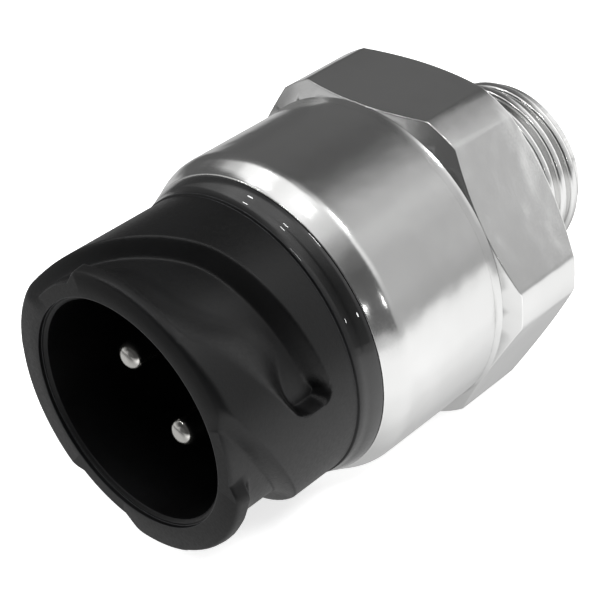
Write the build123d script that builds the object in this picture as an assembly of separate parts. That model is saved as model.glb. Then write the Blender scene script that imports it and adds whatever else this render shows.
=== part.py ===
from build123d import *
import math
import os

# Pressure sensor with a threaded port, a wrench hexagon and a two-pin bayonet connector.
# It lies on one flat of the hexagon. +Y runs along its axis from the connector's mouth to the
# threaded port, +Z is up, and the origin is on the axis at the sealing face behind the hexagon.
# All sizes are in millimetres and degrees. An outline is a half section: pairs of radius and
# place along the axis.

# Clearances
slip = 0.05
mould_gap = 0.02
bore_gap = 0.15

# Wrench hexagon, turned from the bar with its corners taken down
hex_across_flats = 27.0
hex_corner_diameter = 29.6
hex_length = 8.2
hex_chamfer_angle = 30.0

# Cylinder in front of the hexagon, and the lip that is rolled in over the connector
cylinder_diameter = 26.8
cylinder_length = 10.8
lip_length = 1.8
lip_nose_length = 0.2
lip_nose_diameter = 25.3
lip_edge_diameter = 25.2
lip_wall_step = 0.2
lip_wall = 0.85
shell_wall = 1.0
lip_bend_radius = 2.5

# Threaded port
thread_diameter = 16.0
port_length = 10.6
port_chamfer = 1.0
relief_diameter = 13.9
relief_width = 1.8
channel_diameter = 4.0

# Ceramic pressure cell and its chamber in the body
cell_diameter = 18.0
cell_base_thickness = 5.8
diaphragm_thickness = 0.55
chamber_floor_thickness = 5.4
pressure_recess_depth = 0.3
cell_seal_diameter = 13.0
cell_seal_squeezed = 0.96
cell_seal_width = 1.3
seal_groove_width = 1.9
seal_rounding_share = 0.45

# Spacer ring between the cell and the connector, with a ledge for the circuit board
spacer_length = 3.75
spacer_ledge_diameter = 13.2
board_diameter = 14.6
board_thickness = 1.0
board_set_back = 0.5

# Connector: barrel, socket and floor
barrel_diameter = 23.66
barrel_length = 11.6
collar_length = 2.0
collar_root_diameter = 23.9
collar_flat_length = 0.75
collar_flat_diameter = 24.02
collar_end_diameter = 25.0
collar_line_depth = 0.1
collar_line_width = 0.2
socket_diameter = 17.9
socket_depth = 13.0
floor_thickness = 2.5
rim_chamfer = 0.45
mouth_step_diameter = 18.7
mouth_step_depth = 0.35
mouth_step_slope = 0.2
neck_diameter = 23.3
recess_diameter = 15.8

# Ring seal in a groove round the connector's flange
housing_seal_squeezed = 0.96
housing_seal_width = 1.3
housing_groove_width = 1.6
housing_groove_set_back = 0.7

# Bayonet tracks: wide channels round the barrel, open at the rim over the first part of their
# turn. Angles are turned from the place where a track's rear wall meets the rim. The rear wall
# climbs like a screw and then levels out. The front wall is a helical land with the same pitch.
track_count = 3
track_start_angle = 150.0
track_depth = 1.3
track_fillet = 0.9
track_climb = 0.104
track_level = 5.8
track_level_climb = 0.0252
track_bend_softness = 0.6
track_sections = 13
land_climb = 0.115
land_root_angle = 92.0
land_slope_first = 2.4
land_slope_last = 0.5
pocket_angle = 138.0
pocket_width = 2.5
pocket_corner_radius = 1.2

# Low guide rim in front of the first part of a track
guide_start_angle = 41.0
guide_end_angle = 97.0
guide_edge_radius = 11.34
guide_crest_radius = 11.43
guide_crest_first = 1.1
guide_crest_last = 0.5
guide_slope_first = 0.6
guide_slope_turn = 18.0
guide_slope_length = 2.4
guide_sections = 8
guide_corner_radius = 0.7

# Contact pins of the connector
pin_spacing = 6.6
pin_line_angle = 135.0
pin_diameter = 2.3
pin_tip_set_back = 2.5
pin_tip_radius = 0.85
pin_collar_diameter = 3.2
pin_collar_length = 0.8
pin_tail_diameter = 1.2
pin_tail_length = 1.7

# Spring leaves between the pin tails and the circuit board
leaf_thickness = 0.25
leaf_width = 1.4
leaf_pad_length = 1.3
leaf_rise_length = 1.3
leaf_foot_length = 1.5

# Lead pins from the cell to the board
lead_pin_diameter = 0.6
lead_pin_circle_radius = 5.6
lead_pin_stand_out = 0.3
lead_pin_angles = [15.0, 75.0, 195.0, 255.0]
lead_hole_gap = 0.1

# Parts on the circuit board: length, width and height, and how far out each stands
capacitor_size = (3.2, 1.6, 1.2)
small_capacitor_size = (2.0, 1.25, 0.8)
diode_size = (2.6, 1.5, 1.1)
resistor_size = (2.0, 1.25, 0.5)
inner_row = 1.0
middle_row = 3.4
outer_row = 5.6
part_line_angle = 45.0
part_edge_share = 0.08
chip_length = 4.9
chip_width = 3.9
chip_height = 1.45
chip_stand_off = 0.15
chip_lead_pitch = 1.27
chip_lead_width = 0.4
chip_lead_reach = 1.0
chip_lead_thickness = 0.2
chip_leads_a_side = 4
end_cap_share = 0.2

# Places along the axis, worked out from the sealing face
thread_radius = thread_diameter / 2
cylinder_radius = cylinder_diameter / 2
barrel_radius = barrel_diameter / 2
socket_radius = socket_diameter / 2
cell_radius = cell_diameter / 2
chamber_radius = cell_radius + bore_gap
channel_radius = channel_diameter / 2
shell_bore_radius = cylinder_radius - shell_wall
hex_front = -hex_length
cell_floor = -chamber_floor_thickness
diaphragm_front = cell_floor - diaphragm_thickness
cell_front = diaphragm_front - cell_base_thickness
flange_seat = cell_front - spacer_length
lip_start = hex_front - cylinder_length
lip_end = lip_start - lip_length
collar_start = lip_end - collar_length
mouth = collar_start - barrel_length
socket_floor = mouth + socket_depth
floor_rear = socket_floor + floor_thickness
board_front = flange_seat + board_set_back
board_rear = board_front + board_thickness
pin_tip = mouth + pin_tip_set_back
pin_tail_end = floor_rear + pin_tail_length


def turned(outline):
    """A round piece: its half section turned about the axis."""
    return revolve(make_face(Plane.XY * Polyline(*outline, close=True)), Axis.Y)


def along_axis(place, angle=0.0):
    """A plane square to the axis, looking at the port, with its x turned from +X towards +Z."""
    direction = (math.cos(math.radians(angle)), 0, math.sin(math.radians(angle)))
    return Plane(origin=(0, place, 0), x_dir=direction, z_dir=(0, -1, 0))


def rod(radius, start, end, across=0.0, angle=0.0):
    """A round rod along the axis from start to end, set off from the axis at an angle."""
    foot = along_axis(end, angle) * Pos(across, 0)
    return extrude(foot * Circle(radius), end - start)


def half_plane(angle):
    """The plane through the axis at this angle, with x outwards and y along the axis."""
    along = math.radians(angle)
    return Plane(
        origin=(0, 0, 0),
        x_dir=(math.cos(along), 0, math.sin(along)),
        z_dir=(-math.sin(along), 0, math.cos(along)),
    )


def ring_seal(major_radius, place, radial, axial):
    """A ring seal as it is squeezed: its section is flattened and has round ends."""
    section = make_face(Plane.XY * Polyline(
        (major_radius - radial / 2, place - axial / 2),
        (major_radius + radial / 2, place - axial / 2),
        (major_radius + radial / 2, place + axial / 2),
        (major_radius - radial / 2, place + axial / 2),
        close=True,
    ))
    rounding = seal_rounding_share * min(radial, axial)
    return revolve(fillet(section.vertices(), rounding), Axis.Y)


def rolled_lip_points(wall):
    """Corners of the lip from the cylinder to its nose, moved in by the wall."""
    nose_radius = lip_nose_diameter / 2
    return [
        (cylinder_radius - wall, lip_start + lip_wall_step * wall),
        (nose_radius - wall, lip_end + lip_nose_length + lip_wall_step * wall),
    ]


def sensor_body():
    """Steel body: threaded port, hexagon, cylinder and rolled lip in one turned piece."""
    groove_inner = (cell_seal_diameter - seal_groove_width) / 2
    groove_outer = (cell_seal_diameter + seal_groove_width) / 2
    groove_floor = cell_floor + cell_seal_squeezed + 2 * mould_gap
    bend, nose = rolled_lip_points(0)
    inner_bend, inner_nose = rolled_lip_points(lip_wall)
    outline = [
        (channel_radius, port_length),
        (thread_radius - port_chamfer, port_length),
        (thread_radius, port_length - port_chamfer),
        (thread_radius, relief_width + thread_radius - relief_diameter / 2),
        (relief_diameter / 2, relief_width),
        (relief_diameter / 2, 0),
        (cylinder_radius, 0),
        bend,
        nose,
        (lip_edge_diameter / 2, lip_end),
        (neck_diameter / 2 + slip, lip_end),
        (neck_diameter / 2 + slip, inner_nose[1]),
        (shell_bore_radius, inner_bend[1]),
        (shell_bore_radius, flange_seat),
        (chamber_radius, flange_seat),
        (chamber_radius, cell_floor),
        (groove_outer, cell_floor),
        (groove_outer, groove_floor),
        (groove_inner, groove_floor),
        (groove_inner, cell_floor + pressure_recess_depth),
        (channel_radius, cell_floor + pressure_recess_depth),
    ]
    section = make_face(Plane.XY * Polyline(*outline, close=True))
    section = fillet(section.vertices().sort_by_distance((*bend, 0))[0], lip_bend_radius)
    return revolve(section, Axis.Y) + wrench_hexagon()


def wrench_hexagon():
    """The hexagon round the body: a turned blank with both faces chamfered, cut to six flats."""
    corner_radius = hex_corner_diameter / 2
    chamfer_start = hex_across_flats / 2 - slip
    chamfer_run = (corner_radius - chamfer_start) * math.tan(math.radians(hex_chamfer_angle))
    inner_radius = (chamber_radius + cylinder_radius) / 2
    blank = turned([
        (inner_radius, 0),
        (chamfer_start, 0),
        (corner_radius, -chamfer_run),
        (corner_radius, hex_front + chamfer_run),
        (chamfer_start, hex_front),
        (inner_radius, hex_front),
    ])
    flats = RegularPolygon(hex_across_flats / 2, 6, major_radius=False)
    bar = extrude(along_axis(0) * flats, hex_length)
    return blank & bar


def track_rear_wall(angle):
    """How far behind the rim the rear wall of a track is, at an angle past its start."""
    climb = track_climb * angle
    level = track_level + track_level_climb * angle
    return (climb + level - math.hypot(climb - level, track_bend_softness)) / 2


def track_front_wall(angle):
    """How far behind the rim the rear side of the helical land is."""
    return land_climb * (angle - land_root_angle)


def land_slope(angle):
    """How far the rear side of the land runs back as it falls to the floor of the channel."""
    share = max(0, angle - guide_end_angle) / (pocket_angle - guide_end_angle)
    return land_slope_first + share * (land_slope_last - land_slope_first)


def ring_sector(inner, outer, first_angle, last_angle):
    """A sector of a ring, seen along the axis, between two angles."""
    middle_angle = (first_angle + last_angle) / 2
    start, middle, end = [
        [(radius * math.cos(math.radians(angle)), radius * math.sin(math.radians(angle)))
         for radius in (inner, outer)]
        for angle in (first_angle, middle_angle, last_angle)
    ]
    return make_face([
        Line(start[0], start[1]),
        ThreePointArc(start[1], middle[1], end[1]),
        Line(end[1], end[0]),
        ThreePointArc(end[0], middle[0], start[0]),
    ])


def bayonet_track(start_angle):
    """The space of one track: a channel lofted round the barrel with a rounded locking pocket."""
    floor_radius = barrel_radius - track_depth
    outside = barrel_radius + track_depth
    corner = track_fillet * (1 - math.sqrt(0.5))
    first_angle = -(pocket_angle / track_sections)
    sections = []
    for number in range(track_sections + 1):
        angle = first_angle + (pocket_angle - first_angle) * number / track_sections
        front = mouth + track_front_wall(angle)
        rear = mouth + track_rear_wall(angle)
        outline = [
            (floor_radius, front + land_slope(angle)),
            (barrel_radius, front),
            (outside, front),
            (outside, rear),
            (floor_radius + track_fillet, rear),
            (floor_radius + corner, rear - corner),
            (floor_radius, rear - track_fillet),
        ]
        sections.append(half_plane(start_angle - angle) * make_face(Polyline(*outline, close=True)))
    channel = loft(sections)

    pocket_front = track_front_wall(pocket_angle)
    pocket_rear = track_rear_wall(pocket_angle)
    radial = half_plane(start_angle - pocket_angle)
    pocket_middle = (pocket_rear + pocket_front + land_slope_last) / 2
    outwards = Plane(
        origin=radial.from_local_coords((floor_radius, mouth + pocket_middle, 0)),
        x_dir=(0, 1, 0),
        z_dir=radial.x_dir,
    )
    pocket_length = pocket_rear - pocket_front - land_slope_last
    pocket = extrude(
        outwards * RectangleRounded(pocket_length, pocket_width, pocket_corner_radius),
        outside - floor_radius,
    )

    return channel + pocket


def guide_rim(start_angle):
    """Low rim in front of a track: a crest that slopes down to the floor of the channel."""
    floor_radius = barrel_radius - track_depth
    root_radius = (socket_radius + floor_radius) / 2
    turn = guide_end_angle - guide_start_angle
    first_angle = guide_start_angle - turn / guide_sections
    sections = []
    for number in range(guide_sections + 2):
        angle = first_angle + turn * number / guide_sections
        share = (angle - guide_start_angle) / turn
        crest = mouth + guide_crest_first + share * (guide_crest_last - guide_crest_first)
        widened = min(1, max(0, (angle - guide_start_angle) / guide_slope_turn))
        slope = guide_slope_first + widened * (guide_slope_length - guide_slope_first)
        half_height = (guide_crest_radius + floor_radius) / 2
        outline = [
            (root_radius, mouth),
            (guide_edge_radius, mouth),
            (guide_crest_radius, crest),
            (half_height, crest + slope * math.sqrt(0.5)),
            (floor_radius, crest + slope),
            (root_radius, crest + slope),
        ]
        sections.append(half_plane(start_angle - angle) * make_face(Polyline(*outline, close=True)))
    rim = loft(sections)
    outer_radius = guide_crest_radius + slip
    sector = ring_sector(root_radius - slip, outer_radius, start_angle - guide_end_angle,
                         start_angle - guide_start_angle)
    corner_angle = math.radians(start_angle - guide_start_angle)
    corner = (outer_radius * math.cos(corner_angle), outer_radius * math.sin(corner_angle), 0)
    sector = fillet(sector.vertices().sort_by_distance(corner)[0], guide_corner_radius)
    return rim & extrude(along_axis(mouth + 2 * guide_slope_length) * sector, 3 * guide_slope_length)


def connector_housing():
    """Moulded connector: socket, barrel with three bayonet tracks, and the flange under the lip."""
    inner_bend, inner_nose = rolled_lip_points(lip_wall)
    flange_radius = shell_bore_radius - slip
    neck_radius = neck_diameter / 2
    groove_front = flange_seat - housing_groove_set_back - housing_groove_width
    groove_radius = shell_bore_radius - housing_seal_squeezed - 2 * mould_gap
    step_radius = mouth_step_diameter / 2
    outline = [
        (step_radius, mouth),
        (barrel_radius - rim_chamfer, mouth),
        (barrel_radius, mouth + rim_chamfer),
        (barrel_radius, collar_start - collar_line_width / 2),
        (barrel_radius - collar_line_depth, collar_start),
        (collar_root_diameter / 2, collar_start + collar_line_width / 2),
        (collar_flat_diameter / 2, collar_start + collar_flat_length),
        (collar_end_diameter / 2, lip_end - slip),
        (neck_radius, lip_end - slip),
        (neck_radius, inner_nose[1] + slip),
        (flange_radius, inner_bend[1] + slip),
        (flange_radius, groove_front),
        (groove_radius, groove_front),
        (groove_radius, groove_front + housing_groove_width),
        (flange_radius, groove_front + housing_groove_width),
        (flange_radius, flange_seat),
        (recess_diameter / 2, flange_seat),
        (recess_diameter / 2, floor_rear),
        (0, floor_rear),
        (0, socket_floor),
        (socket_radius, socket_floor),
        (socket_radius, mouth + mouth_step_depth + mouth_step_slope),
        (step_radius - mouth_step_slope, mouth + mouth_step_depth),
        (step_radius, mouth + mouth_step_depth),
    ]
    housing = turned(outline)
    for number in range(track_count):
        start_angle = track_start_angle + number * 360 / track_count
        housing -= bayonet_track(start_angle)
        housing += guide_rim(start_angle)
    for side in (0, 180):
        housing -= contact_pin_shape(pin_line_angle + side, mould_gap)
    return housing


def contact_pin_shape(angle, gap=0.0):
    """A contact pin, or with a gap the hole that it is moulded into."""
    across = pin_spacing / 2
    collar_middle = (socket_floor + floor_rear) / 2
    shank = rod(pin_diameter / 2 + gap, pin_tip, floor_rear, across, angle)
    collar_half = pin_collar_length / 2 + gap
    collar = rod(pin_collar_diameter / 2 + gap, collar_middle - collar_half,
                 collar_middle + collar_half, across, angle)
    return shank + collar


def contact_pin(angle):
    """Tinned brass pin with a rounded tip, a collar held in the floor and a thinner tail."""
    pin = contact_pin_shape(angle)
    tip_edge = pin.edges().sort_by(Axis.Y)[0]
    pin = fillet(tip_edge, pin_tip_radius)
    return pin + rod(pin_tail_diameter / 2, floor_rear, pin_tail_end, pin_spacing / 2, angle)


def contact_leaf(angle):
    """Bent spring leaf: its pad meets the pin's tail and its foot is soldered to the board."""
    pad_start = pin_spacing / 2 - leaf_pad_length / 2
    pad_end = pad_start + leaf_pad_length
    foot_start = pad_end + leaf_rise_length
    foot_end = foot_start + leaf_foot_length
    outline = [
        (pad_start, pin_tail_end),
        (pad_end, pin_tail_end),
        (foot_start, board_front - leaf_thickness),
        (foot_end, board_front - leaf_thickness),
        (foot_end, board_front),
        (foot_start - leaf_thickness / 2, board_front),
        (pad_end - leaf_thickness / 2, pin_tail_end + leaf_thickness),
        (pad_start, pin_tail_end + leaf_thickness),
    ]
    strip = half_plane(angle) * make_face(Polyline(*outline, close=True))
    return extrude(strip, leaf_width / 2, both=True)


def pressure_cell_base():
    """Thick ceramic disc that carries the electrodes and the lead pins."""
    disc = rod(cell_radius, cell_front, diaphragm_front)
    return chamfer(disc.edges().sort_by(Axis.Y)[0], bore_gap)


def pressure_cell_diaphragm():
    """Thin ceramic disc that bends under the pressure, bonded to the base by its rim."""
    return rod(cell_radius, diaphragm_front, cell_floor)


def cell_seal():
    """Rubber ring between the body's floor and the diaphragm."""
    place = cell_floor + mould_gap + cell_seal_squeezed / 2
    return ring_seal(cell_seal_diameter / 2, place, cell_seal_width, cell_seal_squeezed)


def housing_seal():
    """Rubber ring between the connector's flange and the body."""
    place = flange_seat - housing_groove_set_back - housing_groove_width / 2
    middle_radius = shell_bore_radius - mould_gap - housing_seal_squeezed / 2
    return ring_seal(middle_radius, place, housing_seal_squeezed, housing_seal_width)


def spacer_ring():
    """Moulded ring that holds the cell down on its seal and carries the board on a ledge."""
    ledge_radius = spacer_ledge_diameter / 2
    board_bore = board_diameter / 2 + bore_gap
    return turned([
        (board_bore, flange_seat),
        (cell_radius, flange_seat),
        (cell_radius, cell_front),
        (ledge_radius, cell_front),
        (ledge_radius, board_rear),
        (board_bore, board_rear),
    ])


def circuit_board():
    """Round board with a hole for each lead pin."""
    board = rod(board_diameter / 2, board_front, board_rear)
    hole_radius = lead_pin_diameter / 2 + lead_hole_gap
    for angle in lead_pin_angles:
        board -= rod(hole_radius, board_front, board_rear, lead_pin_circle_radius, angle)
    return board


def lead_pin(angle):
    """Wire pin from the cell's back through the board."""
    return rod(lead_pin_diameter / 2, board_front - lead_pin_stand_out, cell_front,
               lead_pin_circle_radius, angle)


def signal_chip():
    """Amplifier chip on the board's cell side: a moulded case with leads on two sides."""
    case_place = board_rear + chip_stand_off + chip_height
    case = extrude(along_axis(case_place) * Rectangle(chip_length, chip_width), chip_height)
    case = chamfer(case.edges().group_by(Axis.Y)[-1], chip_stand_off)
    span = (chip_leads_a_side - 1) * chip_lead_pitch
    knee = board_rear + chip_stand_off + chip_height / 2
    for side in (-1, 1):
        for number in range(chip_leads_a_side):
            x = number * chip_lead_pitch - span / 2
            z = side * chip_width / 2
            outline = [
                (z, knee),
                (z + side * chip_lead_reach / 2, knee),
                (z + side * chip_lead_reach / 2, board_rear + chip_lead_thickness),
                (z + side * chip_lead_reach, board_rear + chip_lead_thickness),
                (z + side * chip_lead_reach, board_rear),
                (z + side * (chip_lead_reach / 2 - chip_lead_thickness), board_rear),
                (z + side * (chip_lead_reach / 2 - chip_lead_thickness), knee - chip_lead_thickness),
                (z, knee - chip_lead_thickness),
            ]
            profile = Plane(origin=(x, 0, 0), x_dir=(0, 0, 1), z_dir=(-1, 0, 0))
            lead = profile * make_face(Polyline(*outline, close=True))
            case += extrude(lead, chip_lead_width / 2, both=True)
    return case


def board_block(size, across, angle):
    """A surface-mounted block on the board's front, such as a capacitor or a resistor."""
    length, width, height = size
    place = along_axis(board_front, angle) * Pos(across, 0) * Rot(0, 0, 90)
    body = extrude(place * Rectangle(length * (1 - 2 * end_cap_share), width), height)
    cap_length = length * end_cap_share
    cap_middle = (length - cap_length) / 2
    for side in (-1, 1):
        cap = extrude(place * Pos(side * cap_middle, 0) * Rectangle(cap_length, width), height)
        body += cap
    return chamfer(body.edges().group_by(Axis.Y)[0], height * part_edge_share)


nodes = {
    "sensor_body": sensor_body(),
    "connector_housing": connector_housing(),
    "contact_pin_upper": contact_pin(pin_line_angle),
    "contact_pin_lower": contact_pin(pin_line_angle + 180),
    "contact_leaf_upper": contact_leaf(pin_line_angle),
    "contact_leaf_lower": contact_leaf(pin_line_angle + 180),
    "housing_seal": housing_seal(),
    "spacer_ring": spacer_ring(),
    "circuit_board": circuit_board(),
    "signal_chip": signal_chip(),
    "filter_capacitor": board_block(capacitor_size, middle_row, part_line_angle),
    "supply_capacitor": board_block(capacitor_size, middle_row, part_line_angle + 180),
    "output_capacitor": board_block(small_capacitor_size, inner_row, part_line_angle),
    "surge_diode": board_block(diode_size, outer_row, part_line_angle + 180),
    "trim_resistor": board_block(resistor_size, outer_row, part_line_angle),
    "sense_resistor": board_block(resistor_size, inner_row, part_line_angle + 180),
    "cell_base": pressure_cell_base(),
    "cell_diaphragm": pressure_cell_diaphragm(),
    "cell_seal": cell_seal(),
}
for number, angle in enumerate(lead_pin_angles, start=1):
    nodes[f"lead_pin_{number}"] = lead_pin(angle)

os.makedirs("parts", exist_ok=True)
for name, solid in nodes.items():
    export_step(solid, f"parts/{name}.step")
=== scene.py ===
import bmesh
import bpy
import math
from mathutils import Matrix, Vector


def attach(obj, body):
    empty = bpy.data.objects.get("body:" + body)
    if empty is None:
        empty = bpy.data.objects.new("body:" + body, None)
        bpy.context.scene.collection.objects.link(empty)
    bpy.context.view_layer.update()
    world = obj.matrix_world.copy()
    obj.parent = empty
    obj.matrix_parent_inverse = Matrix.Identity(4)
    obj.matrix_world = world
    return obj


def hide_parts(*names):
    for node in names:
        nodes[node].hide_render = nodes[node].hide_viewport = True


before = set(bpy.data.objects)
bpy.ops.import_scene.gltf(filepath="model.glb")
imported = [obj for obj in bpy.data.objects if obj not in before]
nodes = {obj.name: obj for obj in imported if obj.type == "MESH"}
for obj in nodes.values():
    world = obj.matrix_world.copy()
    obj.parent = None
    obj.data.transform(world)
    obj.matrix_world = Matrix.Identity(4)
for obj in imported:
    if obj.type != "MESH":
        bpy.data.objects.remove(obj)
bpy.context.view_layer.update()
bpy.context.scene.view_settings.view_transform = "Standard"

# Camera: it looks down into the connector's mouth from the front right. Its three directions are
# written in the sensor's own frame, and its place is in millimetres from the sealing face.
camera_right = Vector((0.73963, 0.67006, -0.06302))
camera_up = Vector((-0.34169, 0.45453, 0.82259))
camera_back = Vector((0.57982, -0.58688, 0.56514))
camera_place_mm = Vector((78.819, -91.815, 73.502))
camera_data = bpy.data.cameras.new("camera")
camera_data.sensor_width = 36.0
camera_data.lens = 102.29
camera_data.shift_x = -0.0649
camera_data.shift_y = 0.0171
camera_data.clip_start = 0.01
camera = bpy.data.objects.new("camera", camera_data)
bpy.context.scene.collection.objects.link(camera)
camera_turn = Matrix((camera_right, camera_up, camera_back)).transposed().to_4x4()
camera.matrix_world = Matrix.Translation(camera_place_mm / 1000) @ camera_turn
bpy.context.scene.camera = camera

# Floor: a plain white sweep that the sensor lies on with one flat of its hexagon. It reads as
# plain white to the camera and in the steel, and catches the soft shadow under the hexagon.
floor_height_mm = -13.5
floor_half_width_mm = 3000.0
floor_corners = [(-1, -1), (1, -1), (1, 1), (-1, 1)]
floor_paint = (0.85, 0.85, 0.85, 1)
floor_glow = 0.7
white = (1, 1, 1, 1)


def new_material(name):
    """An empty node material, and the tree that its nodes go into."""
    material = bpy.data.materials.new(name)
    material.use_nodes = True
    tree = material.node_tree
    tree.nodes.clear()
    tree.nodes.new("ShaderNodeOutputMaterial")
    return material, tree


def add(tree, kind, inputs=None, **settings):
    """Add a node: inputs are constant values or (node, output) pairs that are linked."""
    new = tree.nodes.new(kind)
    for name, value in settings.items():
        setattr(new, name, value)
    for name, value in (inputs or {}).items():
        if isinstance(value, tuple) and len(value) == 2 and hasattr(value[0], "outputs"):
            tree.links.new(value[0].outputs[value[1]], new.inputs[name])
        else:
            new.inputs[name].default_value = value
    return new


def new_mesh_object(name, points, faces, material):
    """A mesh object at the origin, from points in millimetres."""
    mesh = bpy.data.meshes.new(name)
    mesh.from_pydata([tuple(axis / 1000 for axis in point) for point in points], [], faces)
    mesh.materials.append(material)
    thing = bpy.data.objects.new(name, mesh)
    bpy.context.scene.collection.objects.link(thing)
    return thing


def ramp(tree, value, stops, interpolation="EASE"):
    """A grey ramp through stops of place and tone."""
    new = add(tree, "ShaderNodeValToRGB", {"Fac": value})
    band = new.color_ramp
    band.interpolation = interpolation
    band.elements[0].position = stops[0][0]
    band.elements[1].position = stops[-1][0]
    for position, tone in stops[1:-1]:
        band.elements.new(position)
    for element, (position, tone) in zip(band.elements, stops):
        element.color = (tone, tone, tone, 1)
    return new


def stretch(tree, value, low, high, first=0.0, last=1.0, **settings):
    """Map a value's range from low to high onto one from first to last."""
    return add(tree, "ShaderNodeMapRange", {"Value": value, "From Min": low, "From Max": high,
                                            "To Min": first, "To Max": last}, **settings)


def object_axes(tree):
    """The sensor's own X, Y and Z at each point of a surface."""
    place = add(tree, "ShaderNodeTexCoord")
    return add(tree, "ShaderNodeSeparateXYZ", {0: (place, "Object")})


def straight_sight(tree, light_path):
    """1 where the camera looks straight at a surface or through a clear one, otherwise 0."""
    return add(tree, "ShaderNodeMath", {0: (light_path, "Is Camera Ray"),
                                        1: (light_path, "Is Transmission Ray")},
               operation="MAXIMUM")


# In the steel the sweep is graded from left to right and from front to back, over this length in
# metres to each side of the sensor. It gets darker in front of the connector.
sweep_reach = 0.26
sweep_tones = [
    (0.0, 0.13), (0.21, 0.30), (0.317, 0.58), (0.423, 0.66), (0.49, 0.55), (0.51, 0.50),
    (0.519, 0.60), (0.527, 0.85), (0.537, 1.12), (0.552, 1.3), (0.592, 1.3), (0.654, 1.2),
    (0.75, 0.7), (1.0, 0.5),
]
sweep_depth_tones = [(0.0, 0.3), (0.345, 0.35), (0.39, 0.8), (0.41, 1.0), (1.0, 1.0)]
sweep, tree = new_material("white_sweep")
light_path = add(tree, "ShaderNodeLightPath")
paint = add(tree, "ShaderNodeBsdfDiffuse", {"Color": floor_paint})
glow = add(tree, "ShaderNodeEmission", {"Color": white, "Strength": floor_glow})
brighter = add(tree, "ShaderNodeAddShader", {0: (paint, 0), 1: (glow, 0)})
seen = add(tree, "ShaderNodeMixShader", {0: (straight_sight(tree, light_path), 0),
                                         1: (paint, 0), 2: (brighter, 0)})
split = object_axes(tree)
across = stretch(tree, (split, "X"), -sweep_reach, sweep_reach)
along = stretch(tree, (split, "Y"), -sweep_reach, sweep_reach)
tone = add(tree, "ShaderNodeMath", {0: (ramp(tree, (across, 0), sweep_tones), 0),
                                    1: (ramp(tree, (along, 0), sweep_depth_tones), 0)},
           operation="MULTIPLY")
graded = add(tree, "ShaderNodeEmission", {"Strength": (tone, 0)})
seen = add(tree, "ShaderNodeMixShader", {0: (light_path, "Is Glossy Ray"),
                                         1: (seen, 0), 2: (graded, 0)})
tree.links.new(seen.outputs[0], tree.nodes["Material Output"].inputs[0])
floor = new_mesh_object("floor", [
    (x * floor_half_width_mm, y * floor_half_width_mm, floor_height_mm) for x, y in floor_corners
], [(0, 1, 2, 3)], sweep)

# Studio: a light tent round the sensor, which only its gloss sees, with a screen at each end. The
# lists give the tone of five rings of the tent by the direction round the axis, from the
# connector's end to the port's, and each ring turns into the next over a join along the axis.
tent_radius_mm = 260.0
tent_front_mm = -420.0
tent_back_mm = 520.0
tent_segments = 96
tent_front_tones = [
    (0.0, 0.65), (0.05, 0.3), (0.10, 0.08), (0.85, 0.06), (0.93, 0.3), (0.97, 0.6), (1.0, 0.65),
]
tent_lip_tones = [
    (0.0, 0.3), (0.05, 0.3), (0.45, 0.5), (0.50, 0.16), (0.60, 0.13), (0.63, 0.2), (0.656, 0.4),
    (0.70, 0.9), (0.758, 1.4), (0.808, 1.15), (0.856, 1.4), (0.90, 0.75), (0.95, 0.3), (1.0, 0.3),
]
tent_bend_tones = [
    (0.0, 0.13), (0.05, 0.3), (0.45, 0.8), (0.50, 0.5), (0.55, 0.66), (0.60, 1.0), (0.656, 1.2),
    (0.71, 1.3), (0.758, 0.5), (0.81, 0.16), (0.856, 0.2), (0.903, 0.15), (0.95, 0.12),
    (1.0, 0.13),
]
tent_middle_tones = [
    (0.0, 0.13), (0.03, 0.13), (0.055, 0.6), (0.12, 0.66), (0.42, 1.3), (0.475, 1.2), (0.492, 0.5),
    (0.544, 0.60), (0.60, 0.58), (0.655, 0.72), (0.70, 0.56), (0.735, 0.34), (0.766, 0.17),
    (0.80, 0.115), (0.877, 0.14), (0.93, 0.14), (0.97, 0.12), (1.0, 0.13),
]
tent_back_tones = [(0.0, 0.9), (0.45, 1.6), (0.72, 1.9), (0.79, 1.0), (0.84, 0.3), (1.0, 0.3)]
tent_joins_mm = [(-130.0, -85.0), (5.0, 35.0), (60.0, 105.0), (250.0, 300.0)]
front_screen_tones = [(0.0, 0.6), (0.2, 0.45), (0.4, 0.12), (1.0, 0.1)]
back_screen_tone = 0.85


def give_light(tree, strength):
    """Make a material give out white light and nothing else."""
    glow = add(tree, "ShaderNodeEmission", {"Color": white, "Strength": strength})
    tree.links.new(glow.outputs[0], tree.nodes["Material Output"].inputs[0])


def show_to_gloss(thing):
    """Show a piece of the studio to the sensor's gloss alone."""
    thing.visible_camera = False
    thing.visible_diffuse = False
    thing.visible_shadow = False
    thing.visible_transmission = False


tent_material, tree = new_material("light_tent")
split = object_axes(tree)
around = add(tree, "ShaderNodeMath", {0: (split, "Z"), 1: (split, "X")}, operation="ARCTAN2")
around = stretch(tree, (around, 0), -math.pi, math.pi)
tone = ramp(tree, (around, 0), tent_front_tones)
later_rings = (tent_lip_tones, tent_bend_tones, tent_middle_tones, tent_back_tones)
for tones, (first, last) in zip(later_rings, tent_joins_mm):
    join = stretch(tree, (split, "Y"), first / 1000, last / 1000, interpolation_type="SMOOTHSTEP")
    ring = ramp(tree, (around, 0), tones)
    tone = add(tree, "ShaderNodeMix", {0: (join, 0), 2: (tone, 0), 3: (ring, 0)},
               data_type="FLOAT")
give_light(tree, (tone, 0))
tent_points = []
tent_faces = []
for number in range(tent_segments):
    angle = 2 * math.pi * number / tent_segments
    x, z = tent_radius_mm * math.cos(angle), tent_radius_mm * math.sin(angle)
    tent_points += [(x, tent_front_mm, z), (x, tent_back_mm, z)]
    first, second = 2 * number, 2 * ((number + 1) % tent_segments)
    tent_faces.append((first, first + 1, second + 1, second))
show_to_gloss(new_mesh_object("light_tent", tent_points, tent_faces, tent_material))
screen_faces = [tuple(range(tent_segments))]
front_material, tree = new_material("front_screen")
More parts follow.
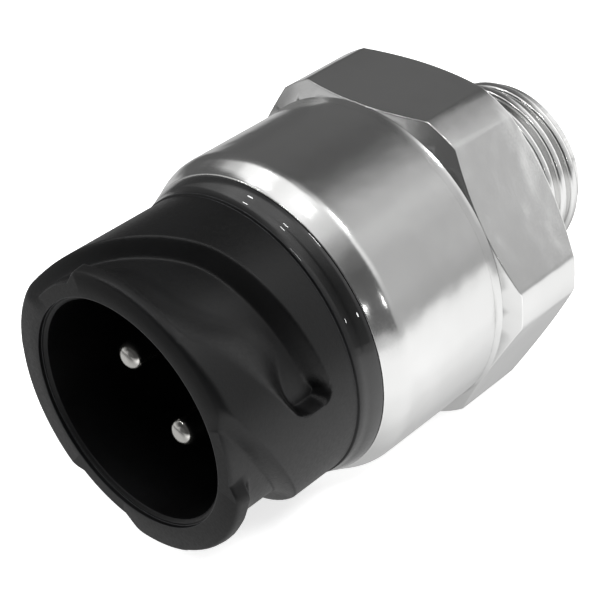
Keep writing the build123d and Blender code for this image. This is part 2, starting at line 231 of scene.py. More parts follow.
sideways = stretch(tree, (object_axes(tree), "X"), -tent_radius_mm / 1000, tent_radius_mm / 1000)
give_light(tree, (ramp(tree, (sideways, 0), front_screen_tones), 0))
show_to_gloss(new_mesh_object("front_screen", tent_points[::2], screen_faces, front_material))
back_material, tree = new_material("back_screen")
give_light(tree, back_screen_tone)
show_to_gloss(new_mesh_object("back_screen", tent_points[1::2], screen_faces, back_material))

# Six small bare lamps, which only gloss sees, leave the white glints on the polished collar. Each
# has its middle, the direction of its long side, and its length and width, in millimetres.
glint_lamps = [
    ((-135, -85, 181), (-0.78, 0.36, -0.51), 14, 9),
    ((-107, -16, 209), (-0.84, 0.23, -0.49), 16, 9),
    ((-31, -118, 212), (-0.97, 0.25, -0.07), 12, 9),
    ((13, -62, 232), (-0.99, 0.16, 0.05), 16, 9),
    ((81, 55, 209), (-0.95, 0.04, 0.32), 44, 7),
    ((228, -18, 66), (-0.28, -0.07, 0.96), 12, 7),
]
bare_lamp_strength = 30.0
lamp_material, tree = new_material("bare_lamp")
give_light(tree, bare_lamp_strength)
for number, (middle, lengthways, length, width) in enumerate(glint_lamps):
    middle, lengthways = Vector(middle), Vector(lengthways).normalized() * length / 2
    crossways = middle.cross(lengthways).normalized() * width / 2
    show_to_gloss(new_mesh_object(f"glint_lamp_{number + 1}", [
        tuple(middle - lengthways - crossways), tuple(middle + lengthways - crossways),
        tuple(middle + lengthways + crossways), tuple(middle - lengthways + crossways),
    ], [(0, 1, 2, 3)], lamp_material))

# Backdrop and soft lamps: the world is white to the camera and to the gloss, and half as bright
# where it lights the sensor. Two soft lamps, which the gloss doesn't see, give the soft shadow.
backdrop_light = 0.5
world = bpy.data.worlds.new("white_backdrop")
world.use_nodes = True
tree = world.node_tree
tree.nodes.clear()
light_path = add(tree, "ShaderNodeLightPath")
sight = add(tree, "ShaderNodeMath", {0: (straight_sight(tree, light_path), 0),
                                     1: (light_path, "Is Glossy Ray")}, operation="MAXIMUM")
level = stretch(tree, (sight, 0), 0.0, 1.0, backdrop_light, 1.0)
sky = add(tree, "ShaderNodeBackground", {"Color": white, "Strength": (level, 0)})
out = add(tree, "ShaderNodeOutputWorld")
tree.links.new(sky.outputs[0], out.inputs[0])
bpy.context.scene.world = world


def soft_lamp(name, place, size, power):
    """A square soft box that faces the sensor: place and size in metres, power in watts."""
    lamp = bpy.data.lights.new(name, "AREA")
    lamp.size = size
    lamp.energy = power
    stand = bpy.data.objects.new(name, lamp)
    facing = Vector(place).to_track_quat("Z", "Y").to_matrix().to_4x4()
    stand.matrix_world = Matrix.Translation(place) @ facing
    stand.visible_camera = False
    stand.visible_glossy = False
    bpy.context.scene.collection.objects.link(stand)


soft_lamp("key_lamp", place=(0.30, -0.10, 0.55), size=0.25, power=4.0)
soft_lamp("fill_lamp", place=(-0.35, -0.45, 0.35), size=0.35, power=2.0)

# Sensor body: one piece of turned steel with a zinc-nickel plating. The hexagon is milled from the
# bar, and the thin front edge is rolled down over the connector. Fine turning lines run round it,
# its edges are painted brighter, partly as wear and partly as a painted highlight along them, and
# dust lies on it.


def group_socket(group, name, kind, is_input, value=None):
    """A named socket of a node group, with its default."""
    side = "INPUT" if is_input else "OUTPUT"
    socket = group.interface.new_socket(name=name, in_out=side, socket_type=kind)
    if value is not None:
        socket.default_value = value
    return socket


def new_group(name, inputs, outputs):
    """A shader node group with its input and output nodes."""
    group = bpy.data.node_groups.new(name, "ShaderNodeTree")
    for label, kind, value in inputs:
        group_socket(group, label, kind, True, value)
    for label, kind in outputs:
        group_socket(group, label, kind, False)
    return group, group.nodes.new("NodeGroupInput"), group.nodes.new("NodeGroupOutput")


float_kind, vector_kind = "NodeSocketFloat", "NodeSocketVector"

# Edge wear and highlight: finds the edges within a width, and breaks them up with noise. The
# materials paint the edges it finds paler, as wear and, on the steel and the plastic, also as a
# painted highlight along the edges. An edge starts where the rounded normal and the plain one
# match less than the first value, and is full at the second.
edge_matches = (0.995, 0.85)
noise_range = (0.35, 0.65)
edge_wear_and_highlight, into, out_of = new_group(
    "edge_wear_and_highlight",
    [("Width", float_kind, 0.0003), ("Breakup Scale", float_kind, 900.0),
     ("Breakup", float_kind, 0.5)],
    [("Mask", float_kind), ("Normal", vector_kind)])
rounded = add(edge_wear_and_highlight, "ShaderNodeBevel", {"Radius": (into, "Width")}, samples=8)
surface = add(edge_wear_and_highlight, "ShaderNodeNewGeometry")
match = add(edge_wear_and_highlight, "ShaderNodeVectorMath", {0: (rounded, "Normal"), 1: (surface, "Normal")},
            operation="DOT_PRODUCT")
edge = stretch(edge_wear_and_highlight, (match, "Value"), *edge_matches)
place = add(edge_wear_and_highlight, "ShaderNodeTexCoord")
noise = add(edge_wear_and_highlight, "ShaderNodeTexNoise", {"Vector": (place, "Object"),
                                              "Scale": (into, "Breakup Scale"), "Detail": 3.0})
broken = stretch(edge_wear_and_highlight, (noise, "Fac"), *noise_range)
kept = add(edge_wear_and_highlight, "ShaderNodeMath", {0: 1.0, 1: (into, "Breakup")}, operation="SUBTRACT")
broken = add(edge_wear_and_highlight, "ShaderNodeMath", {0: (broken, 0), 1: (into, "Breakup"), 2: (kept, 0)},
             operation="MULTIPLY_ADD")
mask = add(edge_wear_and_highlight, "ShaderNodeMath", {0: (edge, 0), 1: (broken, 0)}, operation="MULTIPLY")
edge_wear_and_highlight.links.new(mask.outputs[0], out_of.inputs["Mask"])
edge_wear_and_highlight.links.new(rounded.outputs["Normal"], out_of.inputs["Normal"])

# Fine grain: two sizes of noise, for uneven gloss and small bumps.
fine_grain, into, out_of = new_group(
    "fine_grain",
    [("Scale", float_kind, 4000.0), ("Cloud Scale", float_kind, 120.0)],
    [("Grain", float_kind), ("Cloud", float_kind)])
place = add(fine_grain, "ShaderNodeTexCoord")
grain = add(fine_grain, "ShaderNodeTexNoise", {"Vector": (place, "Object"),
                                               "Scale": (into, "Scale"),
                                               "Detail": 4.0, "Roughness": 0.6})
cloud = add(fine_grain, "ShaderNodeTexNoise", {"Vector": (place, "Object"),
                                               "Scale": (into, "Cloud Scale"), "Detail": 3.0})
fine_grain.links.new(grain.outputs["Fac"], out_of.inputs["Grain"])
fine_grain.links.new(cloud.outputs["Fac"], out_of.inputs["Cloud"])

# The parts of the noise's range that hold most of it.
cloud_range = (0.35, 0.7)
grain_range = (0.3, 0.7)

# Turning lines: fine rings round the axis, on cylinders by their place along it and on end faces
# by their radius.
turning_lines, into, out_of = new_group(
    "turning_lines",
    [("Lines per Metre", float_kind, 6000.0)],
    [("Lines", float_kind)])
split = object_axes(turning_lines)
flat = add(turning_lines, "ShaderNodeCombineXYZ", {"X": (split, "X"), "Y": (split, "Z")})
reach = add(turning_lines, "ShaderNodeVectorMath", {0: (flat, 0)}, operation="LENGTH")
ring = add(turning_lines, "ShaderNodeCombineXYZ", {"X": (reach, "Value"), "Y": (split, "Y")})
lines = add(turning_lines, "ShaderNodeTexNoise", {"Vector": (ring, 0),
                                                  "Scale": (into, "Lines per Metre"),
                                                  "Detail": 2.0, "Roughness": 0.7})
turning_lines.links.new(lines.outputs["Fac"], out_of.inputs["Lines"])

# Dust: a few pale specks on the surface.
dust, into, out_of = new_group(
    "dust",
    [("Scale", float_kind, 420.0), ("Size", float_kind, 0.05), ("Share", float_kind, 0.2)],
    [("Mask", float_kind)])
place = add(dust, "ShaderNodeTexCoord")
cells = add(dust, "ShaderNodeTexVoronoi", {"Vector": (place, "Object"), "Scale": (into, "Scale")})
speck = add(dust, "ShaderNodeMath", {0: (cells, "Distance"), 1: (into, "Size")},
            operation="LESS_THAN")
choice = add(dust, "ShaderNodeSeparateColor", {0: (cells, "Color")})
chosen = add(dust, "ShaderNodeMath", {0: (choice, 0), 1: (into, "Share")}, operation="LESS_THAN")
mask = add(dust, "ShaderNodeMath", {0: (speck, 0), 1: (chosen, 0)}, operation="MULTIPLY")
dust.links.new(mask.outputs[0], out_of.inputs["Mask"])


def place_group(tree, group, **values):
    """Put a node group into a material with its own values."""
    new = tree.nodes.new("ShaderNodeGroup")
    new.node_tree = group
    for name, value in values.items():
        new.inputs[name.replace("_", " ")].default_value = value
    return new


def blend_colour(tree, mask, below, above):
    """A colour that turns from one to another with a mask."""
    return add(tree, "ShaderNodeMix", {0: mask, 6: below, 7: above}, data_type="RGBA")


def bumped(tree, height, strength, distance, normal=None):
    """Raise a surface by a height that varies over it, on top of a normal from before."""
    inputs = {"Height": height, "Strength": strength, "Distance": distance}
    if normal is not None:
        inputs["Normal"] = normal
    return add(tree, "ShaderNodeBump", inputs)


def finish_surface(tree, **sockets):
    """A Principled surface with its constant values, joined to the material's output."""
    values = {name.replace("_", " "): value for name, value in sockets.items()}
    surface = add(tree, "ShaderNodeBsdfPrincipled", values)
    tree.links.new(surface.outputs[0], tree.nodes["Material Output"].inputs[0])


steel_colour = (0.735, 0.735, 0.73, 1)
steel_cloud_colour = (0.655, 0.655, 0.65, 1)
# Paler edges: partly wear, partly a painted highlight along the edges.
steel_edge_wear_and_highlight_colour = (0.93, 0.93, 0.92, 1)
steel_dust_colour = (0.95, 0.95, 0.95, 1)
steel_roughness = (0.13, 0.20)
plated_steel, tree = new_material("plated_steel")
pale_edges = place_group(tree, edge_wear_and_highlight, Width=0.00016, Breakup_Scale=700.0, Breakup=0.45)
skin = place_group(tree, fine_grain, Scale=5200.0, Cloud_Scale=95.0)
lathe = place_group(tree, turning_lines, Lines_per_Metre=5200.0)
specks = place_group(tree, dust, Scale=330.0, Size=0.045, Share=0.12)
cloudy = stretch(tree, (skin, "Cloud"), *cloud_range)
colour = blend_colour(tree, (cloudy, 0), steel_colour, steel_cloud_colour)
# Painted highlight and wear: the edges are blended towards the paler colour.
colour = blend_colour(tree, (pale_edges, "Mask"), (colour, 2), steel_edge_wear_and_highlight_colour)
colour = blend_colour(tree, (specks, "Mask"), (colour, 2), steel_dust_colour)
gloss = stretch(tree, (skin, "Grain"), *grain_range, *steel_roughness)
rolling = bumped(tree, (skin, "Cloud"), strength=1.0, distance=0.0003, normal=(pale_edges, "Normal"))
fine = bumped(tree, (skin, "Grain"), strength=0.1, distance=0.00001, normal=(rolling, 0))
turned_skin = bumped(tree, (lathe, "Lines"), strength=0.12, distance=0.00001, normal=(fine, 0))
finish_surface(tree, Base_Color=(colour, 2), Metallic=1.0, Roughness=(gloss, 0),
               Normal=(turned_skin, 0))

# The body's form comes from the solid. Its port is turned down to the thread's root, because the
# solid has a plain cylinder there, and the thread is wound on it below.
port_cut_radius_mm = 7.08
port_cut_start_mm = 2.0
port_cut_end_mm = 11.0
port_cut_outer_mm = 9.0
port_cut_segments = 192
smooth_below = math.radians(28)
merge_distance = 1e-7


def merged_copy(node, name):
    """A copy of a solid's mesh with its loose triangles joined."""
    mesh = nodes[node].data.copy()
    mesh.name = name
    work = bmesh.new()
    work.from_mesh(mesh)
    bmesh.ops.remove_doubles(work, verts=work.verts, dist=merge_distance)
    work.to_mesh(mesh)
    work.free()
    mesh.materials.clear()
    mesh.materials.append(plated_steel)
    thing = bpy.data.objects.new(name, mesh)
    bpy.context.scene.collection.objects.link(thing)
    return thing


def ring_mesh(name, inner, outer, start, end, segments, material):
    """A square-edged ring round the axis, in millimetres."""
    points, faces = [], []
    corners = [(inner, start), (outer, start), (outer, end), (inner, end)]
    for number in range(segments):
        turn_by = 2 * math.pi * number / segments
        points += [(r * math.cos(turn_by), y, r * math.sin(turn_by)) for r, y in corners]
        first, second = 4 * number, 4 * ((number + 1) % segments)
        faces += [(first + k, first + (k + 1) % 4, second + (k + 1) % 4, second + k)
                  for k in range(4)]
    return new_mesh_object(name, points, faces, material)


def made_mesh(thing):
    """What an object's modifiers make, as a plain mesh."""
    depsgraph = bpy.context.evaluated_depsgraph_get()
    return bpy.data.meshes.new_from_object(thing.evaluated_get(depsgraph))


def keep_result(thing, shade_angle):
    """Turn what the modifiers make into the object's own mesh, with sharp edges above an angle.
    Each corner is shaded by its largest faces, so that long flat runs stay straight."""
    made = made_mesh(thing)
    thing.modifiers.clear()
    thing.data = made
    made.polygons.foreach_set("use_smooth", [True] * len(made.polygons))
    made.set_sharp_from_angle(angle=shade_angle)
    shading = thing.modifiers.new("shading", "WEIGHTED_NORMAL")
    shading.keep_sharp = True
    shading.weight = 100
    bpy.context.view_layer.update()
    made = made_mesh(thing)
    thing.modifiers.clear()
    thing.data = made


body = merged_copy("sensor_body", "turned_body")
port_cut = ring_mesh("port_cut", port_cut_radius_mm, port_cut_outer_mm, port_cut_start_mm,
                     port_cut_end_mm, port_cut_segments, plated_steel)
cut = body.modifiers.new("port_cut", "BOOLEAN")
cut.operation = "DIFFERENCE"
cut.solver = "EXACT"
cut.object = port_cut
bpy.context.view_layer.update()
keep_result(body, smooth_below)
bpy.data.objects.remove(port_cut)

# The tool's corner leaves a fine flare where the cylinder meets the hexagon. It rises from just
# above the cylinder into the hexagon's face.
flare_start_mm = -8.95
flare_end_mm = -8.2
flare_radius_mm = 13.402
flare_rise_mm = 0.098
flare_rows = 10
flare_columns = 240
flare_points = []
flare_faces = []
for column in range(flare_columns):
    turn_by = 2 * math.pi * column / flare_columns
    for row in range(flare_rows):
        share = row / (flare_rows - 1)
        radius = flare_radius_mm + flare_rise_mm * share ** 2
        y = flare_start_mm + share * (flare_end_mm - flare_start_mm)
        flare_points.append((radius * math.cos(turn_by), y, radius * math.sin(turn_by)))
    first, second = flare_rows * column, flare_rows * ((column + 1) % flare_columns)
    flare_faces += [(first + k, first + k + 1, second + k + 1, second + k)
                    for k in range(flare_rows - 1)]
flare = new_mesh_object("hexagon_flare", flare_points, flare_faces, plated_steel)
flare.data.polygons.foreach_set("use_smooth", [True] * len(flare.data.polygons))
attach(flare, "root")
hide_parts("sensor_body")
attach(body, "root")

# Port thread: the fine 1.5 mm thread that is rolled on the port in one with the body. Its strip
# follows a helix from the relief groove to the port's chamfer and runs out at both ends. The
# flanks start at a share of the pitch from its middle, and the runs end at shares of its length.
thread_pitch_mm = 1.5
thread_crest_mm = 8.0
thread_root_mm = 7.1
thread_start_mm = 2.8
thread_end_mm = 9.8
thread_flank_share = 0.17
thread_run_in_share = 0.12
thread_run_out_share = 0.86
thread_steps_per_turn = 72
thread_steps_across = 15

thread_tree = bpy.data.node_groups.new("helical_thread", "GeometryNodeTree")
thread_sizes_mm = {
    "Pitch": thread_pitch_mm, "Crest": thread_crest_mm, "Root": thread_root_mm,
    "Start": thread_start_mm, "End": thread_end_mm,
}
for label, value in thread_sizes_mm.items():
    group_socket(thread_tree, label, float_kind, True, value / 1000)
group_socket(thread_tree, "Thread", "NodeSocketGeometry", False)
into, out_of = thread_tree.nodes.new("NodeGroupInput"), thread_tree.nodes.new("NodeGroupOutput")
turns = (thread_end_mm - thread_start_mm) / thread_pitch_mm
steps_along = int(turns * thread_steps_per_turn)


def sum_up(tree, operation, first, second, third=None):
    """One step of arithmetic in a node tree."""
    values = {0: first, 1: second}
    if third is not None:
        values[2] = third
    return add(tree, "ShaderNodeMath", values, operation=operation), 0


strip = add(thread_tree, "GeometryNodeMeshGrid", {"Size X": 1.0, "Size Y": 1.0,
                                                  "Vertices X": steps_along,
                                                  "Vertices Y": thread_steps_across})
where = add(thread_tree, "GeometryNodeInputPosition")
parts = add(thread_tree, "ShaderNodeSeparateXYZ", {0: (where, 0)})
share = sum_up(thread_tree, "ADD", (parts, "X"), 0.5)
length = sum_up(thread_tree, "SUBTRACT", (into, "End"), (into, "Start"))
travel = sum_up(thread_tree, "MULTIPLY", share, length)
angle = sum_up(thread_tree, "DIVIDE", travel, (into, "Pitch"))
angle = sum_up(thread_tree, "MULTIPLY", angle, 2 * math.pi)
across = sum_up(thread_tree, "ABSOLUTE", (parts, "Y"), 0.0)
flank = stretch(thread_tree, across, 0.5, thread_flank_share, interpolation_type="SMOOTHSTEP")
run_in = stretch(thread_tree, share, 0.0, thread_run_in_share)
run_out = stretch(thread_tree, share, 1.0, thread_run_out_share)
height = sum_up(thread_tree, "MULTIPLY", (flank, 0), (run_in, 0))
height = sum_up(thread_tree, "MULTIPLY", height, (run_out, 0))
depth = sum_up(thread_tree, "SUBTRACT", (into, "Crest"), (into, "Root"))
radius = sum_up(thread_tree, "MULTIPLY_ADD", height, depth, (into, "Root"))
cosine = sum_up(thread_tree, "COSINE", angle, 0.0)
sine = sum_up(thread_tree, "SINE", angle, 0.0)
x = sum_up(thread_tree, "MULTIPLY", radius, cosine)
z = sum_up(thread_tree, "MULTIPLY", radius, sine)
sideways = sum_up(thread_tree, "MULTIPLY", (parts, "Y"), (into, "Pitch"))
y = sum_up(thread_tree, "ADD", (into, "Start"), travel)
y = sum_up(thread_tree, "ADD", y, sideways)
wound = add(thread_tree, "ShaderNodeCombineXYZ", {"X": x, "Y": y, "Z": z})
laid = add(thread_tree, "GeometryNodeSetPosition", {"Geometry": (strip, "Mesh"),
                                                    "Position": (wound, 0)})
real = add(thread_tree, "GeometryNodeRealizeInstances", {"Geometry": (laid, 0)})
coated = add(thread_tree, "GeometryNodeSetMaterial", {"Geometry": (real, 0),
                                                      "Material": plated_steel})
thread_tree.links.new(coated.outputs[0], out_of.inputs["Thread"])


def grow(name, tree, material, sizes):
    """Run a geometry tree with its named sizes, in millimetres, and keep the result as a mesh."""
    holder = new_mesh_object(name + "_tree", [(0, 0, 0)], [], material)
    maker = holder.modifiers.new("maker", "NODES")
    maker.node_group = tree
    for socket in tree.interface.items_tree:
        if socket.in_out == "INPUT" and socket.name in sizes:
            maker[socket.identifier] = sizes[socket.name] / 1000
    bpy.context.view_layer.update()
    made = made_mesh(holder)
    holder.modifiers.remove(maker)
    bpy.data.objects.remove(holder)
    thing = bpy.data.objects.new(name, made)
    bpy.context.scene.collection.objects.link(thing)
    return thing


port_thread = grow("port_thread", thread_tree, plated_steel, thread_sizes_mm)
port_thread.data.polygons.foreach_set("use_smooth", [True] * len(port_thread.data.polygons))
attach(port_thread, "root")

# Connector housing: black glass-filled plastic, moulded in one piece with its three bayonet
# tracks. The mould leaves a fine satin grain and a few dust specks. The edges are painted pale,
# partly as rubbed wear and partly as a painted highlight along them; the collar under the lip is
# polished by the rolling tool.
housing_colour = (0.0010, 0.0010, 0.0011, 1)
housing_haze_colour = (0.0022, 0.0023, 0.0025, 1)
# Pale edges: partly rubbed wear, partly a painted highlight along the edges.
housing_edge_wear_and_highlight_colour = (0.03, 0.031, 0.033, 1)
housing_dust_colour = (0.6, 0.6, 0.58, 1)
housing_roughness = (0.37, 0.47)
polish_start_mm = -22.7
polish_full_mm = -22.1
black_plastic, tree = new_material("black_plastic")
pale_edges = place_group(tree, edge_wear_and_highlight, Width=0.00012, Breakup_Scale=1100.0, Breakup=0.35)
skin = place_group(tree, fine_grain, Scale=3600.0, Cloud_Scale=160.0)
specks = place_group(tree, dust, Scale=260.0, Size=0.028, Share=0.16)
cloudy = stretch(tree, (skin, "Cloud"), *cloud_range)
colour = blend_colour(tree, (cloudy, 0), housing_colour, housing_haze_colour)
# Painted highlight and wear: the edges are blended towards the pale colour.
colour = blend_colour(tree, (pale_edges, "Mask"), (colour, 2), housing_edge_wear_and_highlight_colour)
colour = blend_colour(tree, (specks, "Mask"), (colour, 2), housing_dust_colour)
gloss = stretch(tree, (skin, "Grain"), *grain_range, *housing_roughness)
grained = bumped(tree, (skin, "Grain"), strength=0.35, distance=0.00003, normal=(pale_edges, "Normal"))
polish = stretch(tree, (object_axes(tree), "Y"), polish_start_mm / 1000, polish_full_mm / 1000)
finish_surface(tree, Base_Color=(colour, 2), Roughness=(gloss, 0), Normal=(grained, 0), IOR=1.5,
               Specular_IOR_Level=0.36, Coat_Weight=(polish, 0), Coat_Roughness=0.03)


def dress(material, *names):
    """Give a material to pieces that come from the solids."""
    for name in names:
        for place_in_list in nodes[name].material_slots:
            place_in_list.material = material


# The photograph shows the tracks softly moulded: a slanted rear flank, a pocket with round corners
# and a land that rises without an edge. The housing is laid out so, ring by ring round the axis.
# Radii are from the axis, places are behind the rim, and degrees are past a track's start.
mouth_mm = -34.4
barrel_mm = 11.83
channel_mm = 10.53
guide_crest_mm = 11.43
track_starts_degrees = (30.0, 150.0, 270.0)

# Rear wall of a track: it climbs from the rim with each degree, bends, and runs on almost level.
rear_climb_mm = 0.104
rear_level_mm = 5.8
rear_drift_mm = 0.0252
rear_bend_mm = 0.6
flank_mm = 1.1
flank_straightness = 0.7

# Guide rim in front of the channel, and the land that takes over from it.
guide_degrees = (41, 97)
guide_rise_degrees = (35, 44)
guide_place_mm = 1.1
guide_narrowing_mm = 0.6
guide_tilt_mm = 0.09
land_root_degrees = 92
land_climb_mm = 0.115
land_rise_degrees = (84, 128)
crest_bend_mm = 0.9

# Slope from the crest down to the channel: it widens in two stages, and is steep at the pocket.
slope_mm = 0.9
slope_gains_mm = (1.5, 3.4)
slope_gain_degrees = ((41, 59), (76, 120))
steepening_degrees = (104, 139)
softening_degrees = (78, 108)

# Pocket at the end of the track.
pocket_end_degrees = 144.0
pocket_arc_radius_mm = 11.2
pocket_round_mm = 1.2
pocket_wall_mm = 0.45
pocket_bulb_mm = 2.6

# Rim: a soft chamfer with a small round at its edge.
rim_chamfer_mm = 0.45
rim_length_mm = 0.7
rim_bend_mm = 0.3
rim_round_mm = 0.08
rim_round_length_mm = 0.25

housing_step_degrees = 0.75
housing_fine_step_degrees = 0.25
fine_degrees = ((34, 46), (136, 146))
barrel_rows = 102
barrel_row_mm = 0.11
housing_smooth_below = math.radians(42)
sliver_length = 1e-8


def clamp(value):
    """A value held between 0 and 1."""
    return min(1.0, max(0.0, value))


def ease(value):
    """A soft step from 0 to 1."""
    value = clamp(value)
    return value * value * (3 - 2 * value)


def ease_between(turn, limits):
    """A soft step from 0 to 1 between two directions, in degrees."""
    return ease((turn - limits[0]) / (limits[1] - limits[0]))


def rounded_least(first, second, radius):
    """The lesser of two distances from walls that meet in a rounded corner."""
    if first < radius and second < radius:
        return radius - math.hypot(radius - first, radius - second)
    return min(first, second)


def track_surface(turn, behind):
    """Radius of the barrel in one track, at degrees past its start and a place behind the rim."""
    climb, level = rear_climb_mm * turn, rear_level_mm + rear_drift_mm * turn
    rear = (climb + level - math.hypot(climb - level, rear_bend_mm)) / 2
    along_guide = clamp((turn - guide_degrees[0]) / (guide_degrees[1] - guide_degrees[0]))
    guide_crest = guide_place_mm - guide_narrowing_mm * along_guide
    land_crest = land_climb_mm * (turn - land_root_degrees)
    crest = (guide_crest + land_crest + math.hypot(guide_crest - land_crest, crest_bend_mm)) / 2
    top = channel_mm + ease_between(turn, guide_rise_degrees) * (guide_crest_mm - channel_mm)
    top += ease_between(turn, land_rise_degrees) * (barrel_mm - guide_crest_mm)
    slope = slope_mm
    for gain, limits in zip(slope_gains_mm, slope_gain_degrees):
        slope += gain * ease_between(turn, limits)
    slope += ease_between(turn, steepening_degrees) * (flank_mm - slope)
    down = clamp((behind - crest) / slope)
    softness = ease_between(turn, softening_degrees)
    fall = softness * ease(down) + (1 - softness) * down * (2 - down)
    front = top - (top - channel_mm) * fall
    if turn < guide_degrees[1] and behind < crest:
        front -= guide_tilt_mm * (1 - behind / crest)
    end = math.radians(pocket_end_degrees - turn) * pocket_arc_radius_mm
    inside = rounded_least(rear - behind, end, pocket_round_mm)
    if end < pocket_round_mm:
        inside = min(inside, rounded_least(behind - crest, end, pocket_round_mm))
    wall = pocket_wall_mm + (flank_mm - pocket_wall_mm) * ease(end / pocket_bulb_mm)
    sunk = clamp(inside / wall)
    depth = flank_straightness * sunk + (1 - flank_straightness) * ease(sunk)
    return max(front, barrel_mm - (barrel_mm - channel_mm) * depth)


def barrel_surface(angle, behind):
    """Radius of the whole barrel, with its tracks and its chamfered rim."""
    radius = barrel_mm
    for start in track_starts_degrees:
        turn = (start - angle) % 360
        if turn < pocket_end_degrees:
            radius = min(radius, track_surface(turn, behind))
    rim = max(0.0, 1 - behind / rim_length_mm)
    chamfered = barrel_mm - rim_chamfer_mm * rim ** 2
    radius = (radius + chamfered - math.hypot(radius - chamfered, rim_bend_mm * rim)) / 2
    return radius - rim_round_mm * max(0.0, 1 - behind / rim_round_length_mm) ** 2


# The rest of the section, as radius and place along the axis: from the barrel's end over the
# collar, the flange with its seal groove and the recess behind the floor to the socket's mouth.
housing_section_mm = [
    (11.83, -22.9), (11.73, -22.8), (11.95, -22.7), (12.01, -22.05), (12.18, -21.8), (12.32, -21.5),
    (12.42, -21.2), (12.48, -21.0), (12.5, -20.85), (11.65, -20.85),
    (11.65, -20.38), (12.35, -18.78), (12.35, -17.8), (11.4, -17.8), (11.4, -16.2), (12.35, -16.2),
    (12.35, -15.5), (7.9, -15.5), (7.9, -18.9), (0.0, -18.9), (0.0, -21.4), (8.95, -21.4),
    (8.95, -33.85), (9.15, -34.05), (9.35, -34.05), (9.35, -34.4),
]
housing_points = []
housing_faces = []
rows = barrel_rows + len(housing_section_mm)
directions = []
degrees = 0.0
while degrees < 360.0 - 1e-6:
    directions.append(degrees)
    turns = [(start - degrees) % 360 for start in track_starts_degrees]
    fine = any(first < turn < last for turn in turns for first, last in fine_degrees)
    degrees += housing_fine_step_degrees if fine else housing_step_degrees
for column, degrees in enumerate(directions):
    ring = [(barrel_surface(degrees, row * barrel_row_mm), mouth_mm + row * barrel_row_mm)
            for row in range(barrel_rows)] + housing_section_mm
    cosine, sine = math.cos(math.radians(degrees)), math.sin(math.radians(degrees))
    housing_points += [(radius * cosine, y, radius * sine) for radius, y in ring]
    first, second = rows * column, rows * ((column + 1) % len(directions))
    housing_faces += [(first + k, second + k, second + (k + 1) % rows, first + (k + 1) % rows)
                      for k in range(rows)]
housing = new_mesh_object("moulded_housing", housing_points, housing_faces, black_plastic)
work = bmesh.new()
work.from_mesh(housing.data)
bmesh.ops.remove_doubles(work, verts=work.verts, dist=merge_distance)
bmesh.ops.dissolve_degenerate(work, edges=work.edges, dist=sliver_length)
bmesh.ops.recalc_face_normals(work, faces=work.faces)
work.to_mesh(housing.data)
work.free()
keep_result(housing, housing_smooth_below)
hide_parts("connector_housing")
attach(housing, "root")

# Contact pins: two turned brass pins with a nickel and tin finish, moulded into the socket floor.
# Their tips are domed and rubbed by the plug's sleeves.
pin_colour = (0.72, 0.71, 0.68, 1)
pin_tip_colour = (0.9, 0.89, 0.87, 1)
pin_roughness = (0.10, 0.2)
contact_metal, tree = new_material("contact_metal")
pale_edges = place_group(tree, edge_wear_and_highlight, Width=0.00035, Breakup_Scale=1500.0, Breakup=0.3)
skin = place_group(tree, fine_grain, Scale=7000.0, Cloud_Scale=500.0)
colour = blend_colour(tree, (pale_edges, "Mask"), pin_colour, pin_tip_colour)
gloss = stretch(tree, (skin, "Cloud"), *grain_range, *pin_roughness)
rubbed = bumped(tree, (skin, "Grain"), strength=0.2, distance=0.00001, normal=(pale_edges, "Normal"))
finish_surface(tree, Base_Color=(colour, 2), Metallic=1.0, Roughness=(gloss, 0), Normal=(rubbed, 0))
dress(contact_metal, "contact_pin_upper", "contact_pin_lower")

# Contact leaves: strips of phosphor bronze, blanked and bent, that press on the pins' tails and are
# soldered to the board. They are tarnished in patches.
bronze_colour = (0.62, 0.42, 0.2, 1)
bronze_tarnish_colour = (0.45, 0.27, 0.13, 1)
leaf_bronze, tree = new_material("leaf_bronze")
skin = place_group(tree, fine_grain, Scale=6000.0, Cloud_Scale=700.0)
tarnish = stretch(tree, (skin, "Cloud"), *cloud_range)
colour = blend_colour(tree, (tarnish, 0), bronze_colour, bronze_tarnish_colour)
rolled = bumped(tree, (skin, "Grain"), strength=0.3, distance=0.00001)
finish_surface(tree, Base_Color=(colour, 2), Metallic=1.0, Roughness=0.32, Normal=(rolled, 0))
dress(leaf_bronze, "contact_leaf_upper", "contact_leaf_lower")

# Seals: two moulded rubber rings, one under the cell and one round the connector's flange. They
# are dull, with a light bloom.
rubber_colour = (0.018, 0.018, 0.018, 1)
rubber_bloom_colour = (0.045, 0.045, 0.044, 1)
rubber_bloom_range = (0.4, 0.75)
seal_rubber, tree = new_material("seal_rubber")
skin = place_group(tree, fine_grain, Scale=5000.0, Cloud_Scale=400.0)
bloom = stretch(tree, (skin, "Cloud"), *rubber_bloom_range)
colour = blend_colour(tree, (bloom, 0), rubber_colour, rubber_bloom_colour)
pitted = bumped(tree, (skin, "Grain"), strength=0.4, distance=0.00003)
finish_surface(tree, Base_Color=(colour, 2), Roughness=0.75, Normal=(pitted, 0))
dress(seal_rubber, "cell_seal", "housing_seal")

# Spacer ring: moulded in natural, unfilled plastic. It holds the cell down and carries the board.
# The plastic's flow in the mould leaves faint clouds.
spacer_colour = (0.72, 0.67, 0.56, 1)
spacer_flow_colour = (0.65, 0.6, 0.48, 1)
natural_plastic, tree = new_material("natural_plastic")
skin = place_group(tree, fine_grain, Scale=3000.0, Cloud_Scale=200.0)
flow = stretch(tree, (skin, "Cloud"), *cloud_range)
colour = blend_colour(tree, (flow, 0), spacer_colour, spacer_flow_colour)
grained = bumped(tree, (skin, "Grain"), strength=0.3, distance=0.00003)
finish_surface(tree, Base_Color=(colour, 2), Roughness=0.5, Normal=(grained, 0))
dress(natural_plastic, "spacer_ring")

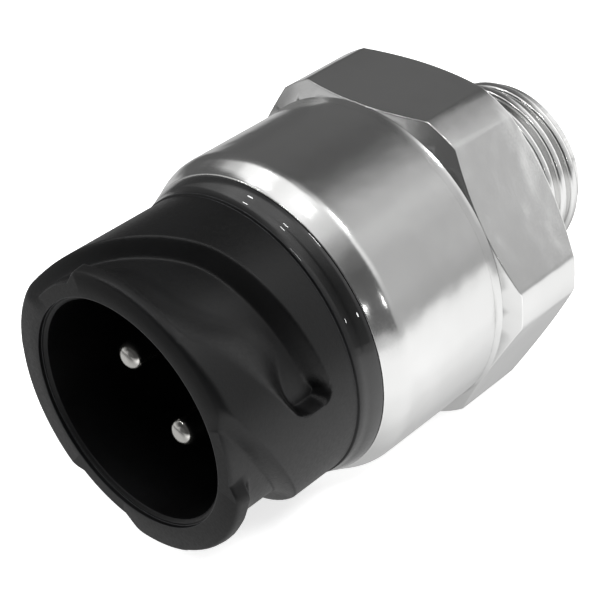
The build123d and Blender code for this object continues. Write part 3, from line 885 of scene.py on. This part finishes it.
# Circuit board: a round of glass-fibre laminate under green solder resist. The weave shows through
# as a faint cross pattern.
resist_colour = (0.02, 0.16, 0.07, 1)
weave_colour = (0.05, 0.26, 0.12, 1)
threads_per_metre = 420.0
board_laminate, tree = new_material("board_laminate")
place = add(tree, "ShaderNodeTexCoord")
cloth = {"Vector": (place, "Object"), "Scale": threads_per_metre}
warp = add(tree, "ShaderNodeTexWave", cloth, bands_direction="X")
weft = add(tree, "ShaderNodeTexWave", cloth, bands_direction="Z")
weave = add(tree, "ShaderNodeMath", {0: (warp, "Fac"), 1: (weft, "Fac")}, operation="MULTIPLY")
colour = blend_colour(tree, (weave, 0), resist_colour, weave_colour)
woven = bumped(tree, (weave, 0), strength=0.15, distance=0.00003)
finish_surface(tree, Base_Color=(colour, 2), Roughness=0.28, Normal=(woven, 0))
dress(board_laminate, "circuit_board")

# Small electronic pieces, cell and lead pins. Each is one material with a grain and a faint cloud
# of a second colour, and differs in its colours, grain, height, roughness and metal.


def clouded(name, colours, grain_scale, cloud_scale, strength, distance, **sockets):
    """A material of two colours that cloud into each other, with a fine grain."""
    material, tree = new_material(name)
    skin = place_group(tree, fine_grain, Scale=grain_scale, Cloud_Scale=cloud_scale)
    colour = blend_colour(tree, (skin, "Cloud"), *colours)
    grained = bumped(tree, (skin, "Grain"), strength, distance)
    finish_surface(tree, Base_Color=(colour, 2), Normal=(grained, 0), **sockets)
    return material


# Amplifier chip and surge diode: moulded in black epoxy with a fine matt texture, and soldered to
# the board.
chip_plastic = clouded(
    "chip_plastic", [(0.02, 0.02, 0.022, 1), (0.04, 0.04, 0.042, 1)], grain_scale=9000.0,
    cloud_scale=600.0, strength=0.5, distance=0.00002, Roughness=0.6)
dress(chip_plastic, "signal_chip", "surge_diode")

# Capacitors: brown ceramic blocks of many fired layers, with a glaze from the firing. They are
# soldered to the board at both ends.
capacitor_ceramic = clouded(
    "capacitor_ceramic", [(0.48, 0.33, 0.19, 1), (0.38, 0.25, 0.13, 1)], grain_scale=8000.0,
    cloud_scale=900.0, strength=0.3, distance=0.00001, Roughness=0.38)
dress(capacitor_ceramic, "filter_capacitor", "supply_capacitor", "output_capacitor")

# Resistors: a printed film on a ceramic chip, under black glaze. They are soldered to the board at
# both ends.
resistor_film = clouded(
    "resistor_film", [(0.03, 0.03, 0.035, 1), (0.07, 0.07, 0.075, 1)], grain_scale=8000.0,
    cloud_scale=800.0, strength=0.25, distance=0.00001, Roughness=0.3)
dress(resistor_film, "trim_resistor", "sense_resistor")

# Pressure cell: two ground discs of white alumina, bonded with glass round the rim. The thin one
# bends under the pressure, and the thick one carries the lead pins.
cell_ceramic = clouded(
    "cell_ceramic", [(0.86, 0.85, 0.8, 1), (0.78, 0.77, 0.72, 1)], grain_scale=6500.0,
    cloud_scale=300.0, strength=0.4, distance=0.00002, Roughness=0.55)
dress(cell_ceramic, "cell_base", "cell_diaphragm")

# Lead pins: four tinned wires, brazed into the cell's back and soldered to the board. They are
# smooth from drawing, and a little uneven in colour.
lead_wire = clouded(
    "lead_wire", [(0.72, 0.71, 0.68, 1), (0.6, 0.59, 0.56, 1)], grain_scale=9000.0,
    cloud_scale=1200.0, strength=0.2, distance=0.00001, Metallic=1.0, Roughness=0.28)
dress(lead_wire, "lead_pin_1", "lead_pin_2", "lead_pin_3", "lead_pin_4")
